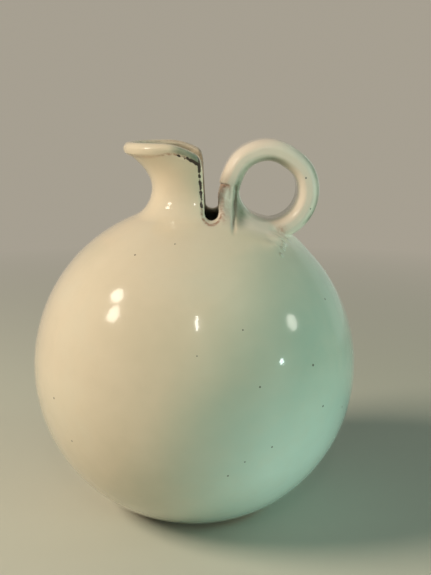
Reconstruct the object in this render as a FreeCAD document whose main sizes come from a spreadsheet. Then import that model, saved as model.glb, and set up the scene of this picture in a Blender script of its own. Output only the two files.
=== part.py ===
import FreeCAD, Part
import math
import os
import Sketcher

# A glazed ceramic ball jug: a thrown globe on a turned foot, a trumpet neck with a pulled spout,
# a slot through the neck, and a strap handle curled into a ring that stands on the shoulder.
# Millimetres. +Z is up, the spout points to -X and the handle to +X.
# The origin is the centre of the foot's underside.

SIZES = {
    "globe_radius": 115.0,
    "globe_wall": 6.0,
    "foot_radius": 46.0,
    "foot_height": 4.0,
    "foot_rim_width": 9.0,
    "foot_bevel": 1.2,
    "floor_thickness": 8.0,
    "neck_radius": 29.4,
    "neck_wall": 5.6,
    "shoulder_sweep": 22.0,
    "flare_height": 24.0,
    "spout_reach": 17.8,
    "side_flare": 4.6,
    "lip_thinning": 1.0,
    "bead_half_width": 4.2,
    "bead_half_height": 4.2,
    "bead_seat": 3.0,
    "bead_outset": 1.0,
    "slot_offset": 12.0,
    "slot_width": 10.2,
    "slot_floor_rise": 1.0,
    "slot_corner": 6.0,
    "rim_fall_length": 28.0,
    "rim_fall_radius": 50.0,
    "ring_drop": 1.8,
    "ring_radius": 35.2,
    "strap_overhang": 0.7,
    "strap_thickness": 15.2,
    "strap_width": 34.5,
    "strap_edge": 6.5,
    "web_thickness": 1.6,
    "web_width": 31.0,
    "strip_half_width": 28.0,
    "pad_radius": 45.0,
    "pad_rise": 3.5,
}

# Lengths that follow from the driving sizes, as expressions over the sheet.
GLOBE_HEIGHT = "sqrt(Sizes.globe_radius^2 - Sizes.foot_radius^2)"
SWEEP_REACH = "(Sizes.globe_radius + Sizes.shoulder_sweep)"
SWEEP_ACROSS = "(Sizes.neck_radius + Sizes.shoulder_sweep)"
SWEEP_RISE = f"sqrt({SWEEP_REACH}^2 - {SWEEP_ACROSS}^2)"
WAIST_HEIGHT = f"({GLOBE_HEIGHT} + {SWEEP_RISE})"
INNER_RADIUS = "(Sizes.globe_radius - Sizes.globe_wall)"
BORE_RADIUS = "(Sizes.neck_radius - Sizes.neck_wall)"
LIP_HEIGHT = f"({WAIST_HEIGHT} + Sizes.flare_height)"
RIM_TOP = f"({LIP_HEIGHT} + Sizes.bead_seat + Sizes.bead_half_height)"
SLOT_LEFT = "(Sizes.slot_offset - Sizes.slot_width / 2)"
SLOT_RIGHT = "(Sizes.slot_offset + Sizes.slot_width / 2)"
ROOT_HEIGHT = f"({GLOBE_HEIGHT} + Sizes.globe_radius * {SWEEP_RISE} / {SWEEP_REACH})"
STRIP_FOOT = f"({ROOT_HEIGHT} + Sizes.slot_floor_rise + Sizes.slot_width / 2)"
STRAP_MIDDLE = "(Sizes.ring_radius - Sizes.strap_thickness / 2)"
RING_HEIGHT = f"({WAIST_HEIGHT} - Sizes.ring_drop)"
RING_OFFSET = f"({SLOT_RIGHT} + Sizes.ring_radius - Sizes.strap_overhang)"
RING_RISE = f"({RING_HEIGHT} - {GLOBE_HEIGHT})"
RING_REACH = f"sqrt({RING_OFFSET}^2 + {RING_RISE}^2)"

LOFT_LEVELS = 5
FULL_TURN = 360.0
STRAP_TURN = 270.0
WEB_TURN = 90.0
ACROSS_THE_JUG = FreeCAD.Rotation(FreeCAD.Vector(1, 0, 0), 90)

PLANES = {"XY": "XY_Plane", "XZ": "XZ_Plane", "YZ": "YZ_Plane"}


def make_sheet(doc):
    sheet = doc.addObject("Spreadsheet::Sheet", "Sizes")
    for row, (alias, value) in enumerate(SIZES.items(), 1):
        sheet.set(f"A{row}", alias)
        sheet.set(f"B{row}", str(value))
        sheet.setAlias(f"B{row}", alias)
    doc.recompute()
    return sheet


def value_of(sheet, expression):
    return float(sheet.evalExpression(str(expression)))


def bind(thing, **expressions):
    for prop, expression in expressions.items():
        thing.setExpression(prop, str(expression))
    return thing


def place(thing, across="0", depth="0", height="0"):
    thing.setExpression("Placement.Base.x", across)
    thing.setExpression("Placement.Base.y", depth)
    thing.setExpression("Placement.Base.z", height)
    return thing


def make_body(doc, name):
    body = doc.addObject("PartDesign::Body", name)
    body.Label = name
    return body


def sketch_on(body, name, plane):
    sketch = body.newObject("Sketcher::SketchObject", name)
    role = PLANES[plane]
    support = [feature for feature in body.Origin.OriginFeatures if feature.Role == role][0]
    sketch.AttachmentSupport = [(support, "")]
    sketch.MapMode = "FlatFace"
    return sketch


def arc_between(start, end, radius, centre_left):
    """The arc of this radius from start to end, with its centre left or right of the chord."""
    chord = end - start
    middle = (start + end) * 0.5
    rise = math.sqrt(max(radius ** 2 - (chord.Length / 2) ** 2, 0.0))
    normal = FreeCAD.Vector(-chord.y, chord.x, 0).normalize()
    centre = middle + normal * (rise if centre_left else -rise)
    from_centre, to_centre = start - centre, end - centre
    first = math.atan2(from_centre.y, from_centre.x)
    last = math.atan2(to_centre.y, to_centre.x)
    circle = Part.Circle(centre, FreeCAD.Vector(0, 0, 1), radius)
    if centre_left:
        return Part.ArcOfCircle(circle, first, last), 1, 2
    return Part.ArcOfCircle(circle, last, first), 2, 1


def draw_outline(sheet, sketch, corners, arcs):
    """A closed outline: corners are (across, up) expressions, and arcs give an edge its radius.

    arcs maps an edge's number to (radius expression, side of the chord that the centre is on).
    """
    points = [FreeCAD.Vector(value_of(sheet, x), value_of(sheet, y), 0) for x, y in corners]
    ends = []
    for edge, start in enumerate(points):
        end = points[(edge + 1) % len(points)]
        if edge in arcs:
            radius, side = arcs[edge]
            curve, first, last = arc_between(start, end, value_of(sheet, radius), side == "left")
        else:
            curve, first, last = Part.LineSegment(start, end), 1, 2
        ends.append((sketch.addGeometry(curve, False), first, last))
    for edge, (geometry, first, last) in enumerate(ends):
        before, _, before_last = ends[edge - 1]
        sketch.addConstraint(Sketcher.Constraint("Coincident", before, before_last, geometry, first))
    for edge, (geometry, first, last) in enumerate(ends):
        for kind, axis in (("DistanceX", 0), ("DistanceY", 1)):
            number = sketch.addConstraint(
                Sketcher.Constraint(kind, -1, 1, geometry, first, points[edge][axis]))
            sketch.renameConstraint(number, f"{kind[-1]}_of_corner_{edge}")
            sketch.setExpression(f"Constraints.{kind[-1]}_of_corner_{edge}", corners[edge][axis])
        if edge in arcs:
            radius = arcs[edge][0]
            number = sketch.addConstraint(
                Sketcher.Constraint("Radius", geometry, value_of(sheet, radius)))
            sketch.renameConstraint(number, f"radius_of_edge_{edge}")
            sketch.setExpression(f"Constraints.radius_of_edge_{edge}", radius)


def revolve(body, sketch, angle=FULL_TURN):
    feature = body.newObject("PartDesign::Revolution", sketch.Name + "_turned")
    feature.Profile = sketch
    feature.ReferenceAxis = (sketch, ["V_Axis"])
    feature.Angle = angle
    sketch.Visibility = False
    return feature


def pocket_through(body, sketch):
    feature = body.newObject("PartDesign::Pocket", sketch.Name + "_cut")
    feature.Profile = sketch
    feature.Type = 1
    feature.Midplane = True
    return feature


def cut(doc, name, base, tool):
    feature = doc.addObject("Part::Cut", name)
    feature.Base = base
    feature.Tool = tool
    return feature


def fuse(doc, name, shapes):
    feature = doc.addObject("Part::MultiFuse", name)
    feature.Shapes = shapes
    return feature


def common(doc, name, shapes):
    feature = doc.addObject("Part::MultiCommon", name)
    feature.Shapes = shapes
    return feature


def root_point(radius):
    """A point on the cone where the globe ends and the neck begins, this far from its tip."""
    across = f"{radius} * {SWEEP_ACROSS} / {SWEEP_REACH}"
    up = f"{GLOBE_HEIGHT} + {radius} * {SWEEP_RISE} / {SWEEP_REACH}"
    return across, up


def at_height(radius, height):
    """How far out a sphere of this radius round the globe's centre is at this height."""
    return f"sqrt(({radius})^2 - ({GLOBE_HEIGHT} - ({height}))^2)"


def make_globe(doc, sheet):
    """The thrown ball: an even wall, a thicker floor, and a mouth cut square to the wall."""
    body = make_body(doc, "globe")
    sketch = sketch_on(body, "globe_wall_section", "XZ")
    floor = "(Sizes.foot_height + Sizes.floor_thickness)"
    corners = [
        ("0", "Sizes.foot_height"),
        (at_height("Sizes.globe_radius", "Sizes.foot_height"), "Sizes.foot_height"),
        root_point("Sizes.globe_radius"),
        root_point(INNER_RADIUS),
        (at_height(INNER_RADIUS, floor), floor),
        ("0", floor),
    ]
    arcs = {1: ("Sizes.globe_radius", "left"), 3: (INNER_RADIUS, "right")}
    draw_outline(sheet, sketch, corners, arcs)
    revolve(body, sketch)
    return body


def make_foot_ring(doc, sheet):
    """The turned foot: the lowest slice of the ball, hollowed inside and bevelled where it stands."""
    body = make_body(doc, "foot_ring")
    sketch = sketch_on(body, "foot_section", "XZ")
    inner = "(Sizes.foot_radius - Sizes.foot_rim_width)"
    corners = [
        (f"{inner} + Sizes.foot_bevel", "0"),
        ("Sizes.foot_radius - Sizes.foot_bevel", "0"),
        (at_height("Sizes.globe_radius", "Sizes.foot_bevel"), "Sizes.foot_bevel"),
        (at_height("Sizes.globe_radius", "Sizes.foot_height"), "Sizes.foot_height"),
        (inner, "Sizes.foot_height"),
        (inner, "Sizes.foot_bevel"),
    ]
    draw_outline(sheet, sketch, corners, {2: ("Sizes.globe_radius", "left")})
    revolve(body, sketch)
    return body


def sweep_corner(radius, height):
    """A point of the neck's concave sweep of this radius, at this height near the waist."""
    drop = f"({WAIST_HEIGHT} - ({height}))"
    return f"{SWEEP_ACROSS} - sqrt(({radius})^2 - {drop}^2)", height


def make_neck(doc, sheet):
    """The throat: it rises out of the ball on a concave sweep up to the waist, with the slot in it."""
    body = make_body(doc, "neck")
    sketch = sketch_on(body, "neck_wall_section", "XZ")
    sweep_inside = "(Sizes.shoulder_sweep + Sizes.neck_wall)"
    corners = [
        root_point("Sizes.globe_radius"),
        ("Sizes.neck_radius", WAIST_HEIGHT),
        (BORE_RADIUS, WAIST_HEIGHT),
        root_point(f"({SWEEP_REACH} - {sweep_inside})"),
    ]
    arcs = {0: ("Sizes.shoulder_sweep", "right"), 2: (sweep_inside, "left")}
    draw_outline(sheet, sketch, corners, arcs)
    revolve(body, sketch)
    slot = sketch_on(body, "slot_outline", "XZ")
    draw_slot(sheet, slot)
    pocket_through(body, slot)
    return body


def draw_slot(sheet, sketch):
    """A round-ended slot with straight sides, and all of the neck to its right above its end."""
    radius = "(Sizes.slot_width / 2)"
    far = f"{SLOT_RIGHT} + Sizes.globe_radius"
    corners = [
        (SLOT_LEFT, STRIP_FOOT),
        ("Sizes.slot_offset", f"{STRIP_FOOT} - {radius}"),
        (SLOT_RIGHT, STRIP_FOOT),
        (far, STRIP_FOOT),
        (far, LIP_HEIGHT),
        (SLOT_LEFT, LIP_HEIGHT),
    ]
    draw_outline(sheet, sketch, corners, {0: (radius, "left"), 1: (radius, "left")})


def make_back_strip(doc, sheet):
    """The sliver of the neck's wall behind the slot, narrowing up to the strap that it carries."""
    body = make_body(doc, "back_strip")
    sketch = sketch_on(body, "strip_wall_section", "XZ")
    sweep_inside = "(Sizes.shoulder_sweep + Sizes.neck_wall)"
    corners = [
        sweep_corner("Sizes.shoulder_sweep", STRIP_FOOT),
        sweep_corner("Sizes.shoulder_sweep", RING_HEIGHT),
        sweep_corner(sweep_inside, RING_HEIGHT),
        sweep_corner(sweep_inside, STRIP_FOOT),
    ]
    arcs = {0: ("Sizes.shoulder_sweep", "right"), 2: (sweep_inside, "left")}
    draw_outline(sheet, sketch, corners, arcs)
    revolve(body, sketch)
    side = sketch_on(body, "slot_side", "XZ")
    far = "(-Sizes.globe_radius)"
    draw_outline(sheet, side, [
        (SLOT_RIGHT, f"{STRIP_FOOT} - Sizes.slot_width"),
        (SLOT_RIGHT, LIP_HEIGHT),
        (far, LIP_HEIGHT),
        (far, f"{STRIP_FOOT} - Sizes.slot_width"),
    ], {})
    pocket_through(body, side)
    for name, sign in (("front_flank", "-"), ("back_flank", "")):
        trim_flank(sheet, body, name, sign)
    return body


def trim_flank(sheet, body, name, sign):
    """Slopes one edge of the strip in, until it is as wide as the strap at the strap's start."""
    sketch = sketch_on(body, name, "YZ")
    narrow = f"{sign}Sizes.strap_width / 2"
    wide = f"{sign}Sizes.strip_half_width"
    far = f"{sign}Sizes.globe_radius"
    draw_outline(sheet, sketch, [
        (narrow, RING_HEIGHT),
        (wide, STRIP_FOOT),
        (far, STRIP_FOOT),
        (far, LIP_HEIGHT),
        (narrow, LIP_HEIGHT),
    ], {})
    pocket_through(body, sketch)


def flare_at(step):
    """The share of the flare's full growth at a level: it opens with the square of the height."""
    share = step / (LOFT_LEVELS - 1)
    return share, share ** 2


def flare_ellipse(doc, name, step, inside):
    """One level of the pouring mouth: a circle at the waist, an egg-like oval at the lip."""
    share, growth = flare_at(step)
    wall = f"(Sizes.neck_wall + {growth} * Sizes.lip_thinning)" if inside else "0"
    spout = f"(Sizes.neck_radius + {growth} * Sizes.spout_reach - {wall})"
    side = f"(Sizes.neck_radius + {growth} * Sizes.side_flare - {wall})"
    ellipse = doc.addObject("Part::Ellipse", name)
    bind(ellipse, MajorRadius=f"({spout} + {side}) / 2", MinorRadius=side)
    place(ellipse, f"({side} - {spout}) / 2", "0", f"{WAIST_HEIGHT} + {share} * Sizes.flare_height")
    return ellipse


def make_flare(doc, name, inside):
    loft = doc.addObject("Part::Loft", name)
    loft.Sections = [flare_ellipse(doc, f"{name}_level_{step}", step, inside)
                     for step in range(LOFT_LEVELS)]
    loft.Solid = True
    loft.Ruled = False
    return loft


def make_mouth_cutter(doc, sheet, name):
    """All that lies right of the slot's left side, and over the rim where it falls to the slot."""
    body = make_body(doc, name)
    sketch = sketch_on(body, name + "_outline", "XZ")
    start = f"({SLOT_LEFT} - Sizes.rim_fall_length)"
    between = "(Sizes.rim_fall_radius - Sizes.slot_corner)"
    across = "(Sizes.rim_fall_length - Sizes.slot_corner)"
    up = f"sqrt({between}^2 - {across}^2)"
    centre_height = f"({RIM_TOP} - Sizes.rim_fall_radius)"
    stretch = f"Sizes.rim_fall_radius / {between}"
    low = f"{WAIST_HEIGHT} - Sizes.slot_width"
    high = f"{RIM_TOP} + Sizes.slot_width"
    far = f"{SLOT_LEFT} + Sizes.globe_radius"
    draw_outline(sheet, sketch, [
        (SLOT_LEFT, low),
        (far, low),
        (far, high),
        (start, high),
        (start, RIM_TOP),
        (f"{start} + {across} * {stretch}", f"{centre_height} + {up} * {stretch}"),
        (SLOT_LEFT, f"{centre_height} + {up}"),
    ], {4: ("Sizes.rim_fall_radius", "right"), 5: ("Sizes.slot_corner", "right")})
    pad = body.newObject("PartDesign::Pad", name + "_block")
    pad.Profile = sketch
    pad.Midplane = True
    bind(pad, Length="4 * Sizes.globe_radius")
    return body


def make_spout(doc, cutter):
    """The pulled pouring mouth, from the waist up to the bead."""
    wall = cut(doc, "mouth_wall", make_flare(doc, "mouth_outside", False),
               make_flare(doc, "mouth_inside", True))
    return cut(doc, "spout", wall, cutter)


def make_lip_bead(doc, cutter):
    """The rolled rim: an oval bead along the mouth, flat below where it sits on the spout."""
    centre = f"({LIP_HEIGHT} + Sizes.bead_seat)"
    outset = "(Sizes.bead_outset - Sizes.bead_half_width)"
    spout = f"(Sizes.neck_radius + Sizes.spout_reach + {outset})"
    side = f"(Sizes.neck_radius + Sizes.side_flare + {outset})"
    path = doc.addObject("Part::Ellipse", "rim_path")
    bind(path, MajorRadius=f"({spout} + {side}) / 2", MinorRadius=side)
    place(path, f"({side} - {spout}) / 2", "0", centre)
    section = doc.addObject("Part::Ellipse", "bead_section")
    bind(section, MajorRadius="Sizes.bead_half_width", MinorRadius="Sizes.bead_half_height")
    section.Placement = FreeCAD.Placement(FreeCAD.Vector(), ACROSS_THE_JUG)
    place(section, side, "0", centre)
    sweep = doc.addObject("Part::Sweep", "bead_roll")
    sweep.Sections = [section]
    sweep.Spine = (path, ["Edge1"])
    sweep.Solid = True
    sweep.Frenet = True
    below = doc.addObject("Part::Cylinder", "below_the_bead")
    bind(below, Radius="2 * Sizes.globe_radius", Height=LIP_HEIGHT)
    seated = cut(doc, "seated_bead", sweep, below)
    return cut(doc, "lip_bead", seated, cutter)


def strap_section(sheet, body, name):
    """The strap's section, flat with round edges, in the plane of the ring's centre and axis."""
    sketch = sketch_on(body, name, "XY")
    sketch.setExpression("AttachmentOffset.Base.x", RING_OFFSET)
    sketch.setExpression("AttachmentOffset.Base.z", RING_HEIGHT)
    near = "(Sizes.strap_thickness - Sizes.ring_radius)"
    far = "(-Sizes.ring_radius)"
    half = "(Sizes.strap_width / 2)"
    edge = "Sizes.strap_edge"
    corners = [
        (far, f"{half} - {edge}"),
        (far, f"{edge} - {half}"),
        (f"{far} + {edge}", f"-{half}"),
        (f"{near} - {edge}", f"-{half}"),
        (near, f"{edge} - {half}"),
        (near, f"{half} - {edge}"),
        (f"{near} - {edge}", half),
        (f"{far} + {edge}", half),
    ]
    arcs = {edge_number: ("Sizes.strap_edge", "left") for edge_number in (1, 3, 5, 7)}
    draw_outline(sheet, sketch, corners, arcs)
    return sketch


def make_strap(doc, sheet, name, angle, reversed_turn):
    """The strap's section turned about the ring's axis, starting level with the ring's centre."""
    body = make_body(doc, name)
    sketch = strap_section(sheet, body, name + "_section")
    turn = revolve(body, sketch, angle)
    turn.Reversed = reversed_turn
    return body


def make_shoulder_core(doc, sheet, name, skin):
    """Globe and neck as one plug up to the strap's start, with this much clay over its surface."""
    body = make_body(doc, name)
    sketch = sketch_on(body, name + "_section", "XZ")
    sweep = f"(Sizes.shoulder_sweep - {skin})"
    corners = [
        ("0", GLOBE_HEIGHT),
        (f"Sizes.globe_radius + {skin}", GLOBE_HEIGHT),
        root_point(f"(Sizes.globe_radius + {skin})"),
        sweep_corner(sweep, RING_HEIGHT),
        ("0", RING_HEIGHT),
    ]
    arcs = {1: (f"Sizes.globe_radius + {skin}", "left"), 2: (sweep, "right")}
    draw_outline(sheet, sketch, corners, arcs)
    revolve(body, sketch)
    return body


def make_web_saddle(doc, sheet):
    """The thin saddle of clay over neck and shoulder, where the ring's hole comes down to them."""
    skin = make_shoulder_core(doc, sheet, "saddle_skin", "Sizes.web_thickness")
    block = doc.addObject("Part::Box", "saddle_block")
    bind(block, Length=f"{RING_OFFSET} - {SLOT_RIGHT}", Width="Sizes.web_width",
         Height=RING_RISE)
    place(block, SLOT_RIGHT, "-Sizes.web_width / 2", GLOBE_HEIGHT)
    return common(doc, "web_saddle", [skin, block])


def make_handle_web(doc, sheet, core):
    """The ring's last quarter, sunk into neck and shoulder, and the saddle at the hole's floor."""
    quarter = make_strap(doc, sheet, "strap_quarter", WEB_TURN, True)
    clay = fuse(doc, "web_clay", [quarter, make_web_saddle(doc, sheet)])
    return cut(doc, "handle_web", clay, core)


def make_handle_ring(doc, sheet, core):
    strap = make_strap(doc, sheet, "strap_loop", STRAP_TURN, False)
    return cut(doc, "handle_ring", strap, core)


def make_luting_pad(doc, core, ring):
    """A low round smear of clay on the shoulder, round the place where the ring's outside lands."""
    lean = (f"(atan({RING_OFFSET} / {RING_RISE}) + acos(({RING_REACH}^2 + Sizes.globe_radius^2"
            f" - Sizes.ring_radius^2) / (2 * {RING_REACH} * Sizes.globe_radius)))")
    depth = "(Sizes.globe_radius + Sizes.pad_rise - Sizes.pad_radius)"
    mound = doc.addObject("Part::Sphere", "pad_mound")
    bind(mound, Radius="Sizes.pad_radius")
    place(mound, f"{depth} * sin({lean})", "0", f"{GLOBE_HEIGHT} + {depth} * cos({lean})")
    inside = doc.addObject("Part::Cylinder", "inside_the_ring")
    inside.Placement = FreeCAD.Placement(FreeCAD.Vector(), ACROSS_THE_JUG)
    bind(inside, Radius=STRAP_MIDDLE, Height="Sizes.strap_width")
    place(inside, RING_OFFSET, "Sizes.strap_width / 2", RING_HEIGHT)
    strap_and_hole = fuse(doc, "ring_disc", [ring, inside])
    smear = cut(doc, "pad_smear", mound, core)
    return cut(doc, "luting_pad", smear, strap_and_hole)


def check(doc):
    for thing in doc.Objects:
        if "Invalid" in thing.State or "Error" in thing.State:
            raise RuntimeError(f"{thing.Label} failed: {thing.State}")


def write(doc, nodes):
    os.makedirs("parts", exist_ok=True)
    for node in nodes:
        shape = node.Shape
        if shape.isNull() or not shape.isValid() or not shape.Solids:
            raise RuntimeError(f"{node.Label} has no valid solid")
    for node in nodes:
        node.Shape.exportStep(os.path.join("parts", node.Label + ".step"))
        box = node.Shape.BoundBox
        print(node.Label, len(node.Shape.Solids), round(node.Shape.Volume),
              [round(v, 2) for v in (box.XMin, box.XMax, box.YMin, box.YMax, box.ZMin, box.ZMax)])


doc = FreeCAD.newDocument("ball_jug")
sheet = make_sheet(doc)
globe = make_globe(doc, sheet)
foot = make_foot_ring(doc, sheet)
neck = make_neck(doc, sheet)
strip = make_back_strip(doc, sheet)
mouth_cutter = make_mouth_cutter(doc, sheet, "mouth_cutter")
spout = make_spout(doc, mouth_cutter)
bead = make_lip_bead(doc, mouth_cutter)
core = make_shoulder_core(doc, sheet, "shoulder_core", "0")
ring = make_handle_ring(doc, sheet, core)
web = make_handle_web(doc, sheet, core)
pad = make_luting_pad(doc, core, ring)
doc.recompute()
check(doc)
write(doc, [globe, foot, neck, spout, bead, strip, ring, web, pad])
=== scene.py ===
import math

import bpy
import numpy as np
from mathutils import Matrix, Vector


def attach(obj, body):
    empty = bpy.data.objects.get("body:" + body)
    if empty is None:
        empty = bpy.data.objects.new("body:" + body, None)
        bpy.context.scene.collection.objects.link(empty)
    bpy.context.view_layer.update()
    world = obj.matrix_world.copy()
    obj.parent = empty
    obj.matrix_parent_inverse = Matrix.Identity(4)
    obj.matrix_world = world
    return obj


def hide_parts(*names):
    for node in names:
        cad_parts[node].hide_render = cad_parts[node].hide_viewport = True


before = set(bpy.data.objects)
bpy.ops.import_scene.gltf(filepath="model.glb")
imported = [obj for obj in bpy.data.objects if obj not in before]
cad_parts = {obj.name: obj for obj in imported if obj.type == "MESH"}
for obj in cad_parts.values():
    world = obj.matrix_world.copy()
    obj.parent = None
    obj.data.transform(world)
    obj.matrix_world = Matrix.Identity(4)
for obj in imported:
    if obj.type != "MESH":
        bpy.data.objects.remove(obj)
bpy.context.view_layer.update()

MM = 0.001

# Sizes of the jug in millimetres, as in the solids.
GLOBE_R = 115.0
GLOBE_WALL = 6.0
FOOT_R = 46.0
FOOT_H = 4.0
FOOT_RIM = 9.0
FOOT_BEVEL = 1.2
FLOOR_T = 8.0
NECK_R = 29.4
NECK_WALL = 5.6
SWEEP_R = 22.0
FLARE_H = 24.0
SPOUT_REACH = 17.8
SIDE_FLARE = 4.6
LIP_THIN = 1.0
BEAD_W = 4.2
BEAD_H = 4.2
BEAD_SEAT = 3.0
BEAD_OUTSET = 1.0
SLOT_X = 12.0
SLOT_W = 10.2
SLOT_RISE = 1.0
RIM_FALL_LENGTH = 28.0
RIM_FALL_R = 50.0
RING_DROP = 1.8
RING_R = 35.2
STRAP_T = 15.2
STRAP_W = 34.5
STRAP_EDGE = 6.5
STRAP_NEAR_EDGE = 12.0
STRAP_LEAN = 0.7
STRIP_HALF = 28.0
PAD_R = 45.0
PAD_RISE = 3.5

# Places that follow from them.
CENTRE_Z = math.sqrt(GLOBE_R ** 2 - FOOT_R ** 2)
ACROSS = NECK_R + SWEEP_R
RISE = math.sqrt((GLOBE_R + SWEEP_R) ** 2 - ACROSS ** 2)
WAIST_Z = CENTRE_Z + RISE
ROOT_TAN = ACROSS / RISE
ROOT_Z = CENTRE_Z + GLOBE_R * RISE / (GLOBE_R + SWEEP_R)
LIP_Z = WAIST_Z + FLARE_H
TOP_Z = LIP_Z + BEAD_SEAT + BEAD_H
SLOT_L = SLOT_X - SLOT_W / 2
SLOT_R = SLOT_X + SLOT_W / 2
SLOT_END_Z = ROOT_Z + SLOT_RISE + SLOT_W / 2
RING_Z = WAIST_Z - RING_DROP
RING_X = SLOT_R + RING_R - STRAP_LEAN
STRAP_START_Z = 235.0
FALL_X = SLOT_L - RIM_FALL_LENGTH
RING_MID = RING_R - STRAP_T / 2
LOBE = 1.2
LIMB_STEP = 4.0
GROOVE_DEPTH = 1.6
PAD_SETTLE = 2.2
SKIN_LOW_Z = 182.0
SKIN_REACH_LEFT = 96.0
SKIN_REACH_RIGHT = 97.0
SKIN_HEADROOM = 8.0
BOWL_SEGMENTS = 224
BOWL_ROWS_OUT = 90
BOWL_ROWS_IN = 80
AXIS_R = 0.01
FOOT_WEAR = (0.35, 0.55, 0.75)
STEP = 1.0
GRID_SLABS = 12
CELL_CORNERS = 8


def smin(a, b, k):
    """The smaller of two distances, with a soft fillet about k wide where they meet."""
    mix = np.maximum(k - np.abs(a - b), 0.0) / k
    return np.minimum(a, b) - mix * mix * k / 4


def smax(a, b, k):
    """The larger of two distances, softened in the same way."""
    return -smin(-a, -b, k)


def mouth_plan(x, y, spout, side):
    """How far a point lies outside an egg-like oval with this reach to the spout and to the side."""
    middle = (side - spout) / 2
    half = (side + spout) / 2
    u = x - middle
    rho = np.hypot(u, y)
    k = np.maximum(np.hypot(u / half, y / side), 1e-6)
    return rho * (1 - 1 / k)


def ramp(value, low, high):
    """0 below low, 1 above high, smooth between."""
    t = np.clip((value - low) / (high - low), 0, 1)
    return t * t * (3 - 2 * t)


def hill(value, middle, width):
    """1 at the middle, falling smoothly to 0 on both sides."""
    return np.exp(-((value - middle) / width) ** 2)


def rim_fall(x, y, z):
    """How far the mouth has sunk here: its rim falls away in an arc towards the slot."""
    run = np.clip(x - FALL_X, 0, RIM_FALL_LENGTH * 0.9)
    fall = RIM_FALL_R - np.sqrt(RIM_FALL_R ** 2 - run ** 2)
    fall = fall + np.maximum(x - FALL_X - RIM_FALL_LENGTH * 0.9, 0) * 0.75
    return fall * (1 + 0.22 * ramp(-y, 5, 25)) * ramp(z, WAIST_Z, WAIST_Z + FLARE_H * 0.7)


def trunk(x, y, z, inside):
    """Distance to the thrown form's outer face, or to its bore: globe, sweep and flared mouth."""
    r = np.hypot(x, y)
    up = z - CENTRE_Z
    globe = np.hypot(r, up) - (GLOBE_R - GLOBE_WALL * inside)
    sweep = SWEEP_R + NECK_WALL * inside - np.hypot(r - ACROSS, z - WAIST_Z)
    t = np.clip((z + rim_fall(x, y, z) - WAIST_Z) / FLARE_H, 0, 1)
    wall = (NECK_WALL + LIP_THIN * t * t) * inside
    slope = 2 * t / FLARE_H * np.where(x < 0, SPOUT_REACH * x * x / np.maximum(r * r, 1), SIDE_FLARE)
    flare = mouth_plan(x, y, NECK_R + SPOUT_REACH * t * t - wall, NECK_R + SIDE_FLARE * t * t - wall)
    flare = flare / np.sqrt(1 + slope * slope)
    on_globe = r > np.maximum(up, 0) * ROOT_TAN
    return np.where(on_globe, globe, np.where(z < WAIST_Z, sweep, flare))


def over_bead(x, y, z):
    """Height over the middle of the rolled rim, and the rim's half height: it thins to the slot."""
    half = BEAD_H * (1 - 0.40 * ramp(x, -32, -8))
    return z + rim_fall(x, y, z) - (TOP_Z - half), half


def bead(x, y, z):
    """Distance to the rolled rim, which sinks towards the slot."""
    out = mouth_plan(x, y, NECK_R + SPOUT_REACH + BEAD_OUTSET - BEAD_W,
                     NECK_R + SIDE_FLARE + BEAD_OUTSET - BEAD_W)
    up, half = over_bead(x, y, z)
    lean = np.sqrt(1 + 0.6 * ramp(x, FALL_X, SLOT_L))
    return (np.hypot(out / BEAD_W, up / half) - 1) * half / lean


def slot(x, z):
    """Distance to the round-ended slot, negative in it; its left side leans in towards the end."""
    left = SLOT_L + np.clip(0.055 * (238 - z), -1, 1)
    right = SLOT_R - 0.9 * hill(z, 224, 6)
    middle, half = (left + right) / 2, (right - left) / 2
    low = np.hypot(x - middle, z - SLOT_END_Z)
    return np.where(z < SLOT_END_Z, low, np.abs(x - middle)) - half


def strip_half(z):
    """Half the width of the neck's sliver behind the slot, narrowing up to the strap."""
    low = (STRAP_START_Z - z) / (STRAP_START_Z - SLOT_END_Z)
    top = STRAP_W / 2 - LOBE
    return top + (STRIP_HALF - top) * low + 40 * np.maximum(low - 1, 0)


def slot_face(x, z):
    """Distance to the slot's cut faces, negative in the clay."""
    return np.maximum(-slot(x, z), np.where((x < SLOT_X) & (z > SLOT_END_Z), x - SLOT_L - 1, -50))


def strip_trim(x, y, z):
    """Where the neck is cut down behind the slot, negative in the sliver that stays."""
    return np.where(x < SLOT_X, -50, smax(z - STRAP_START_Z, np.abs(y) - strip_half(z), 2.0))


def strap(x, y, z):
    """Distance to the strap curled into a ring: a flat section with round edges."""
    turn = np.arctan2(z - RING_Z, x - RING_X)
    pressed = 1.1 * hill(turn, 0.98, 0.38) + 1.1 * hill(turn, 2.75, 0.35)
    out = np.hypot(x - RING_X, z - RING_Z) - RING_MID + pressed
    left_limb = ramp(RING_X - x, 26.5, 30) * (1 - ramp(z, STRAP_START_Z - 1, STRAP_START_Z + 1.5))
    half = STRAP_W / 2 - LIMB_STEP * left_limb
    edge = np.where(out > 0, STRAP_EDGE, STRAP_EDGE - 0.6)
    taper = np.where(y < 0, STRAP_NEAR_EDGE, STRAP_EDGE + 1)
    qx = np.abs(out) - (STRAP_T / 2 - edge)
    qy = (np.abs(y) - (half - taper)) * edge / taper
    return np.hypot(np.maximum(qx, 0), np.maximum(qy, 0)) + np.minimum(np.maximum(qx, qy), 0) - edge


def strip_groove(x, z):
    """The pressed groove between the neck's sliver and the web: 1 along its middle."""
    return hill(x, 27.9 + 0.06 * (z - 225), 1.4) * ramp(z, 205, 212) * (1 - ramp(z, 233, 236))


def ring_lean():
    """The angle from the axis at which the ring's outside lands on the globe."""
    rise = RING_Z - CENTRE_Z
    reach = math.hypot(RING_X, rise)
    turn = (reach ** 2 + GLOBE_R ** 2 - RING_R ** 2) / (2 * reach * GLOBE_R)
    return math.atan2(RING_X, rise) + math.acos(turn)


LEAN = ring_lean()
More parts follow.
